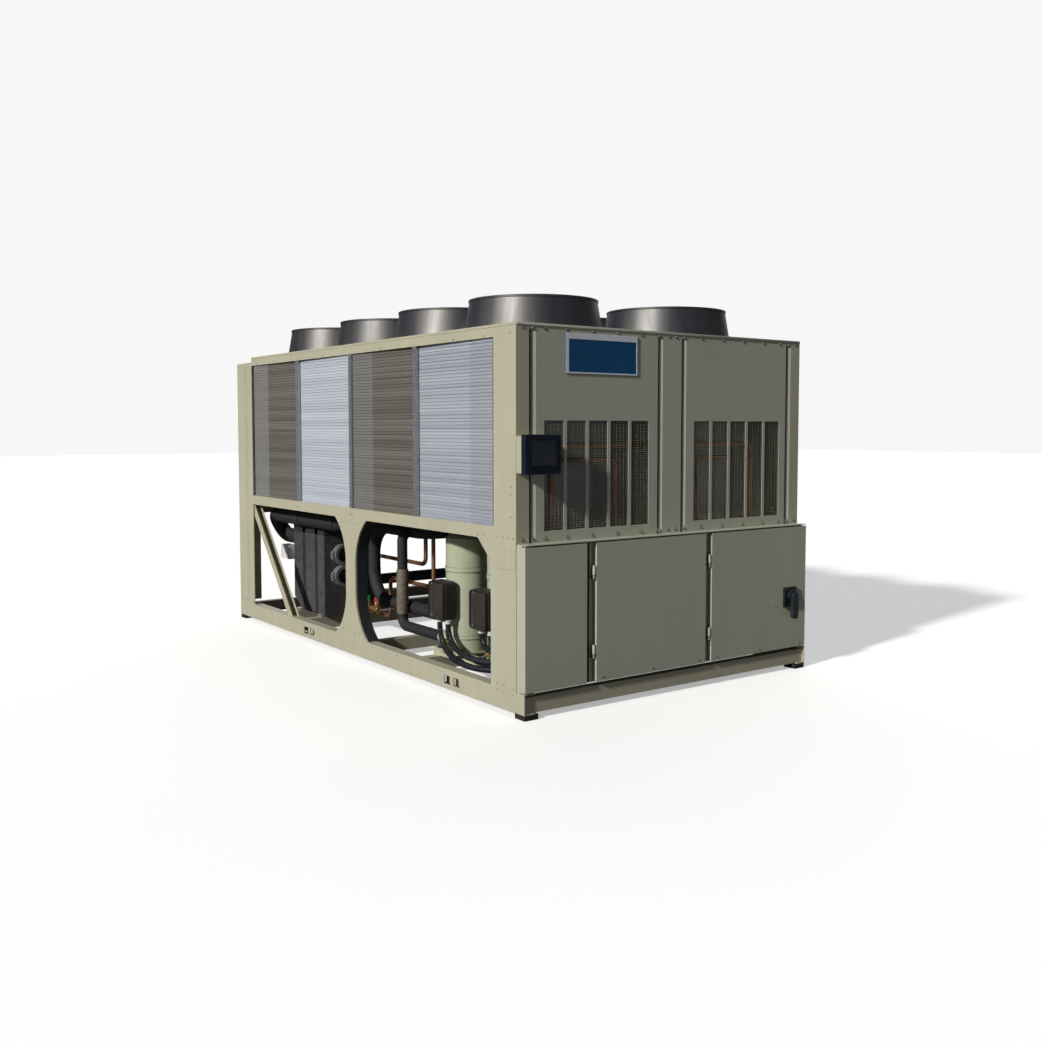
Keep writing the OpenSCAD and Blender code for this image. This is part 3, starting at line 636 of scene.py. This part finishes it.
# Painted shade: black strips fill the gaps between the front panels.
gaps = []
for x, wide in EDGES:
    gaps.append(block(at(x - wide - 0.014, 0.005, PANEL_Z0), at(x - wide, 0.029, PANEL_Z1), 0.001))
piece("panel_gap_shade_strips", gaps, pad_rubber)
piece("roof_edge_trim", [block(at(-1.118, -0.005, 2.091), at(1.118, 0.001, 2.105), 0.002, 2)],
      panel_paint)
piece("chase_closing_plate", [block(at(-1.03, 0.206, 0.936), at(1.03, 0.209, 1.016), 0.001)],
      panel_paint)
closers = [block(at(-1.1155, 0.200, 1.018), at(-1.095, 0.2135, 2.036), 0.001)]
piece("chase_corner_closers", both(closers), galvanised)
trims = [block(at(-HALF_W - PROUD, 0.004, 2.090), at(-HALF_W + 0.001, 3.596, 2.1045), 0.0009)]
for y, wide in ((3.606, 0.010), (3.700, 0.012), (3.740, 0.006)):
    trims.append(block(at(-HALF_W - PROUD, y, 0.150), at(-HALF_W + 0.001, y + wide, 2.050), 0.0009))
piece("side_edge_trims", both(trims), frame_paint)
guards = [block(at(-1.078, y - 0.04, 0.046), at(-1.075, y + 0.19, 0.128), 0.001) for y in (0.581, 2.523)]
piece("lift_slot_guards", both(guards), frame_paint)

# %% [markdown]
# ## Column edges
# The waisted columns are folded from sheet, and a dark strip on each deep returned edge paints the shade
# there, in the foam finish's dark colour. The strip could be swept along a curve. Here a narrow grid is
# bent along the column's own straight and arcs, and a Solidify modifier gives it its thickness, so it
# follows the edge with few faces.

# %% Column edges
COLUMN_Y, COLUMN_Z0, COLUMN_Z1 = 1.920, 0.142, 0.945
WAIST_HALF, WAIST_R, WAIST_STRAIGHT = 0.070, 0.365, 0.100
SHADE_STRIP_X, SHADE_STRIP_W, SHADE_STRIP_T = -1.108, 0.077, 0.0016


def column_shade_strip(facing):
    clear()
    bpy.ops.mesh.primitive_grid_add(x_subdivisions=1, y_subdivisions=28, size=1)
    shade_strip = bpy.context.object
    middle = (COLUMN_Z0 + COLUMN_Z1) / 2
    for v in shade_strip.data.vertices:
        z = middle + v.co.y * (COLUMN_Z1 - COLUMN_Z0)
        past = max(0.0, abs(z - middle) - WAIST_STRAIGHT)
        out = WAIST_HALF + WAIST_R - (WAIST_R ** 2 - past ** 2) ** 0.5
        v.co = at(SHADE_STRIP_X + (v.co.x + 0.5) * SHADE_STRIP_W, COLUMN_Y + facing * (out + SHADE_STRIP_T), z)
    wall = shade_strip.modifiers.new("wall", "SOLIDIFY")
    wall.thickness = SHADE_STRIP_T
    wall.offset = 0
    bpy.ops.object.modifier_apply(modifier=wall.name)
    return shade_strip


# Painted shade: dark strips on the returned column edges.
piece("column_edge_painted_shade", both([column_shade_strip(facing) for facing in SIDES]), insulation)

# %% [markdown]
# ## Plate rim and display
# The front carries a dark plate with a pale border, and a small display unit on the near corner.
# The border is near white, with wider top and left strips: partly its own pale colour, partly a painted
# highlight on the raised top and left edges.
# The border is four thin strips. The display's bezel is a block whose front face is inset and pushed back,
# with a glass behind it and four keys below.


# %% Plate rim and display
def framed_block(lo, hi, rim, sink):
    obj = block(lo, hi)
    pick(obj, "polygons", lambda face: face.normal.y < -0.9)
    bpy.ops.mesh.inset(thickness=rim)
    bpy.ops.transform.translate(value=(0, sink, 0))
    bpy.ops.object.mode_set(mode="OBJECT")
    return obj


lo, hi = [Vector(c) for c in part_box("name_plate")]
# The wider top and left strips paint the highlight on the raised edges; the right and bottom stay thin.
RIM_TOP, RIM_LEFT, RIM_THIN, RIM_T, RIM_EDGE = 0.034, 0.020, 0.008, 0.0015, 0.0005
front, under = lo.y - RIM_T, hi.z - RIM_TOP
strips = [block((lo.x, front, under), (hi.x, lo.y, hi.z), RIM_EDGE),
          block((lo.x, front, lo.z), (lo.x + RIM_LEFT, lo.y, under), RIM_EDGE),
          block((hi.x - RIM_THIN, front, lo.z), (hi.x, lo.y, under), RIM_EDGE),
          block((lo.x + RIM_LEFT, front, lo.z), (hi.x - RIM_THIN, lo.y, lo.z + RIM_THIN), RIM_EDGE)]
piece("name_plate_rim", strips, plate_rim)
DISPLAY = Vector(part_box("display_housing")[0])


def on_display(x, y, z):
    return DISPLAY + Vector((x, y, z))


bezel = framed_block(on_display(0.026, -0.003, 0.036), on_display(0.209, 0.003, 0.189), 0.012, 0.003)
keys = []
for i in range(4):
    x = 0.060 + i * 0.032
    keys.append(block(on_display(x, -0.003, 0.014), on_display(x + 0.022, 0, 0.026), 0.001))
piece("display_bezel", [bezel] + keys, display_black)
glass = block(on_display(0.038, -0.001, 0.048), on_display(0.197, 0.001, 0.177), 0.0005)
piece("display_glass", [glass], screen_glass)

# %% [markdown]
# ## Terminal boxes and conduits
# Each compressor has a black terminal box. Two ribbed conduits leave it through pale glands, sag, and run
# forward into the cabinet. A ribbed tube could be one long spun mesh, but a single rib is easier to shape,
# so one barrel is made from a cylinder and set along a curve, each copy turned to the curve's direction.


# %% Terminal boxes and conduits
def rounded_plate(lo, hi, radius, edge):
    plate = block(lo, hi)

    def runs_through(side):
        a, b = (plate.data.vertices[i].co for i in side.vertices)
        return abs(a.x - b.x) > 0.5 * (hi[0] - lo[0])

    pick(plate, "edges", runs_through)
    bpy.ops.mesh.bevel(offset=radius, segments=4, affect="EDGES")
    pick(plate, "polygons", lambda face: abs(face.normal.x) > 0.9)
    bpy.ops.mesh.inset(thickness=edge, depth=edge * 0.4)
    bpy.ops.object.mode_set(mode="OBJECT")
    return plate


COMP_X, COMP_YS, BOX_Z = 0.80, (0.52, 0.98), 0.386
BOX_FACE = -COMP_X - 0.205
lids = []
for y in COMP_YS:
    lids.append(rounded_plate(at(BOX_FACE - 0.005, y - 0.084, BOX_Z + 0.005),
                              at(BOX_FACE + 0.001, y + 0.084, BOX_Z + 0.229), 0.022, 0.004))
piece("terminal_box_lids", both(lids), box_black)
spots = [(y + dy, BOX_Z + dz) for y in COMP_YS for dy in (-0.068, 0.068) for dz in (0.022, 0.212)]
screws = copies(bolt(0.006), [shift(BOX_FACE - 0.0045, y, z) @ FACING_LEFT for y, z in spots])
piece("terminal_box_screws", both([join(screws)]), galvanised)

CONDUIT_X = -COMP_X - 0.175
RUNS = [[(1.012, 0.366), (1.012, 0.100), (0.700, 0.110), (0.25, 0.196)],
        [(0.918, 0.366), (0.918, 0.165), (0.640, 0.165), (0.25, 0.240)],
        [(0.548, 0.366), (0.548, 0.235), (0.420, 0.275), (0.25, 0.282)],
        [(0.452, 0.366), (0.452, 0.290), (0.380, 0.322), (0.25, 0.324)]]


def along(run, t):
    a, b, c, d = [at(CONDUIT_X, y, z) for y, z in run]
    point = a * (1 - t) ** 3 + b * 3 * t * (1 - t) ** 2 + c * 3 * t * t * (1 - t) + d * t ** 3
    heading = (b - a) * (1 - t) ** 2 + (c - b) * 2 * t * (1 - t) + (d - c) * t * t
    return point, heading


def rib(r, length):
    barrel = rod((0, 0, -length / 2), (0, 0, length / 2), r, 12)
    pick(barrel, "polygons", lambda face: abs(face.normal.z) > 0.9)
    bpy.ops.mesh.inset(thickness=r * 0.16, depth=length * 0.35, use_individual=True)
    bpy.ops.object.mode_set(mode="OBJECT")
    return barrel


RIB_PITCH = 0.0105
places = []
for run in RUNS:
    fine = [along(run, i / 400)[0] for i in range(401)]
    gone = 0.0
    for i in range(400):
        gone += (fine[i + 1] - fine[i]).length
        if gone >= RIB_PITCH or i == 0:
            gone = 0.0
            point, heading = along(run, i / 400)
            places.append(Matrix.Translation(point) @ heading.to_track_quat("Z", "Y").to_matrix().to_4x4())
hoses = join(copies(rib(0.0165, 0.0065), places))
piece("ribbed_conduits", both([hoses]), black_plastic, stands_for=["power_conduits"])
nut = join([rod((0, 0, -0.024), (0, 0, -0.008), 0.021, 6), rod((0, 0, -0.008), (0, 0, 0.001), 0.025, 16)])
break_edges(nut, 0.0012)
glands = copies(nut, [shift(CONDUIT_X, run[0][0], BOX_Z) for run in RUNS])
piece("conduit_glands", both([join(glands)]), white_plastic)

# %% [markdown]
# ## Compressors
# The welded shells show two seams, stand on four rubber bushes with bolts, and carry a small oil sight glass
# low on the outer face. The seams are thin rings; the bush is a cylinder with its rim rounded.

# %% Compressors
SEAM_ZS = (0.2605, 0.281, 0.6725, 0.6995)
seams = [ring(at(-COMP_X, y, z), 0.1305, 0.0024, 40, 6) for y in COMP_YS for z in SEAM_ZS]
piece("compressor_seams", both([join(seams)]), cast_metal)
bush = turned((0, 0, 0.012), (0, 0, 0.030), 0.024, 16, 0.003)
FEET = [(dx, dy) for dx in (-0.118, 0.118) for dy in (-0.105, 0.105)]
spots = [shift(-COMP_X + dx, y + dy, 0.171) for y in COMP_YS for dx, dy in FEET]
piece("compressor_bushes", both([join(copies(bush, spots))]), pad_rubber)
tops = [place @ Matrix.Translation((0, 0, 0.030)) for place in spots]
piece("compressor_bolts", both([join(copies(bolt(0.012), tops))]), galvanised)
glass = []
for y in COMP_YS:
    x = -COMP_X - 0.112
    glass.append(turned(at(x - 0.010, y + 0.02, 0.235), at(x - 0.038, y + 0.02, 0.235), 0.019, 16, 0.002))
    glass.append(turned(at(x, y - 0.05, 0.226), at(x - 0.036, y - 0.06, 0.226), 0.012, 6, 0.0015))
piece("oil_sight_glasses", both([join(glass)]), brass)

# %% [markdown]
# ## Evaporator and pipes
# The evaporator is wrapped in foam sheet, taped along its joints; the pipes have tape rings and clamps.
# The grooved couplings are closed by two track bolts each. The line valves carry coloured caps.

# %% Evaporator and pipes
EVAP_LO, EVAP_HI = [Vector(c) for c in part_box("evaporator")]
LIFT = 0.0016
tapes = []
for y in (EVAP_LO.y + 0.115, EVAP_LO.y + 0.330):
    tapes.append(block((EVAP_LO.x - LIFT, y, EVAP_LO.z + 0.001),
                       (EVAP_HI.x + LIFT, y + 0.048, EVAP_HI.z + LIFT), 0.0008))
tapes.append(block((EVAP_LO.x - LIFT, EVAP_LO.y - LIFT, EVAP_HI.z - 0.050),
                   (EVAP_HI.x + LIFT, EVAP_HI.y + LIFT, EVAP_HI.z + LIFT), 0.0008))
HEAD_X, HEAD_Z = EVAP_LO.x - 0.030, 0.860
RINGS = ((2.56, 0.045, 0.0595), (2.86, 0.045, 0.0595), (3.07, 0.075, 0.0640), (3.44, 0.045, 0.0595))
for y, wide, r in RINGS:
    tapes.append(turned(at(HEAD_X, y, HEAD_Z), at(HEAD_X, y + wide, HEAD_Z), r, 32, 0.001))
LOOP_Y = 2.18
for z in (0.52, 0.70):
    tapes.append(turned(at(-COMP_X, LOOP_Y, z), at(-COMP_X, LOOP_Y, z + 0.045), 0.0435, 24, 0.001))
piece("insulation_tapes", tapes, insulation)
RISER_X, RISER_Y = -COMP_X - 0.08, 1.64
sleeve = [turned(at(RISER_X, RISER_Y, 0.315), at(RISER_X, RISER_Y, 0.615), 0.040, 24, 0.006, 2)]
sleeve += [ring(at(RISER_X, RISER_Y, 0.33 + i * 0.03), 0.0395, 0.0022, 24, 5) for i in range(10)]
piece("riser_sleeve", sleeve, tan_sleeve)
WATER_X, WATER_ZS, LUG = -0.765, (0.44, 0.60), 0.0885
track = join([rod((0, 0, -0.034), (0, 0, 0.034), 0.007, 10), rod((0, 0, 0.018), (0, 0, 0.030), 0.013, 6),
              rod((0, 0, -0.030), (0, 0, -0.018), 0.013, 6)])
places = [shift(WATER_X + dx, 2.740, z) for z in WATER_ZS for dx in (-LUG, LUG)]
piece("coupling_bolts", copies(track, places), galvanised)
VALVE_X, VALVE_YS = -0.70, (2.345, 2.470)
bodies = []
for y in VALVE_YS:
    bodies.append(turned(at(VALVE_X, y - 0.035, 0.230), at(VALVE_X, y + 0.035, 0.230), 0.024, 12, 0.003))
    bodies.append(turned(at(VALVE_X, y, 0.230), at(VALVE_X, y, 0.285), 0.015, 6, 0.002))
piece("line_valves", bodies, brass)
for name, y, colour in (("line_valve_caps", VALVE_YS[0], cap_red),
                        ("line_valve_green_caps", VALVE_YS[1], cap_green)):
    cap = turned(at(VALVE_X, y, 0.283), at(VALVE_X, y, 0.318), 0.017, 12, 0.003)
    piece(name, [cap], colour)

# %% [markdown]
# ## Roof
# Strips cover the joints between the roof sheets, and every shroud is held by eight bolts on its flange.
# The strips are low blocks with broken edges, and the bolts are the same master as before.

# %% Roof
strips = []
for i in range(1, 4):
    y = FRONT_POST_W + BAY_L * i
    strips.append(block(at(-1.085, y - 0.012, DECK_Z), at(1.085, y + 0.012, DECK_Z + 0.003), 0.001))
strips.append(block(at(-0.012, 0.10, DECK_Z), at(0.012, 3.58, DECK_Z + 0.003), 0.001))
piece("roof_joint_strips", strips, frame_paint)
SHROUD_BOLT_R, FLANGE_T = 0.4245, 0.005
points = []
for side in SIDES:
    for y in FAN_YS:
        for i in range(8):
            a = radians(22.5 + i * 45)
            out_x, out_y = SHROUD_BOLT_R * cos(a), SHROUD_BOLT_R * sin(a)
            points.append(at(side * FAN_X + out_x, y + out_y, DECK_Z + FLANGE_T))
bolts("shroud_bolts", UP, points, 0.0065)

# %% [markdown]
# ## Lap plates and doors
# A lap plate stiffens each front post where post and beam meet. Inside the doors runs a black gasket, with a
# folded stiffener across the middle, and a plain zinc pan closes the back of each bay. Black strips on the
# cabinet's uprights paint the shade in the gaps between the doors. All of this is thin sheet, so blocks with
# broken edges are enough; what sits on a door rides with the door.

# %% Lap plates and doors
laps = [block(at(-HALF_W - PROUD, 0.006, 0.792), at(-HALF_W, 0.194, 0.944), 0.0008)]
piece("post_lap_plates", both(laps), frame_paint)


def gasket(lo, hi, wide):
    return [block((lo.x, lo.y, lo.z), (hi.x, hi.y, lo.z + wide), 0.002),
            block((lo.x, lo.y, hi.z - wide), (hi.x, hi.y, hi.z), 0.002),
            block((lo.x, lo.y, lo.z + wide), (lo.x + wide, hi.y, hi.z - wide), 0.002),
            block((hi.x - wide, lo.y, lo.z + wide), (hi.x, hi.y, hi.z - wide), 0.002)]


DOOR_Z0, DOOR_Z1, DOOR_Y = 0.148, 0.922, -0.080
for door, x0, x1 in (("middle_door", -0.634, 0.210), ("right_door", 0.260, 1.113)):
    lo, hi = at(x0 + 0.003, -0.064, DOOR_Z0 + 0.003), at(x1 - 0.003, -0.0525, DOOR_Z1 - 0.003)
    piece(door + "_gasket", gasket(lo, hi, 0.014), pad_rubber, body=door)
    rib_z = DOOR_Z0 + 0.30
    bar = block(at(x0 + 0.05, -0.0785, rib_z), at(x1 - 0.05, -0.066, rib_z + 0.055), 0.004, 2)
    piece(door + "_stiffener", [bar], galvanised, body=door)
    points = [at(x, DOOR_Y, DOOR_Z0 + 0.022) for x in (x0 + 0.05, (x0 + x1) / 2, x1 - 0.05)]
    bolts(door + "_screws", FACING_FRONT, points, 0.007, body=door)
pans = [block(at(-0.585, 0.2445, 0.180), at(0.165, 0.2468, 0.890), 0.001),
        block(at(0.315, 0.2445, 0.180), at(1.073, 0.2468, 0.890), 0.001)]
piece("cabinet_back_pans", pans, galvanised)
# Painted shade: black strips darken the gaps beside the doors.
gaps = [(-0.699, -0.657), (0.2135, 0.238)]
strips = [block(at(x0, -0.0462, 0.146), at(x1, -0.045, 0.921), 0.0004) for x0, x1 in gaps]
piece("cabinet_gap_strips", strips, pad_rubber)
print("doors dressed")

# %% [markdown]
# ## Floor
# The floor is a plain pale sheet that isn't part of the object.

# %% Floor
clear()
bpy.ops.mesh.primitive_plane_add(size=120, location=(0, 0, 0))
floor = bpy.context.object
floor.name = "studio_floor"
ground = Finish("studio_floor", 0.9, Specular_IOR_Level=0.1, Emission_Strength=1.0)
seen = ground.base.make("LightPath", out="Is Camera Ray")
ground.feed("Base Color", seen.blend(rgb(0.20, 0.20, 0.20), rgb(0.90, 0.90, 0.89)))
ground.feed("Emission Color", seen.blend(rgb(0, 0, 0), rgb(0.40, 0.40, 0.40)))
floor.data.materials.append(ground.mat)
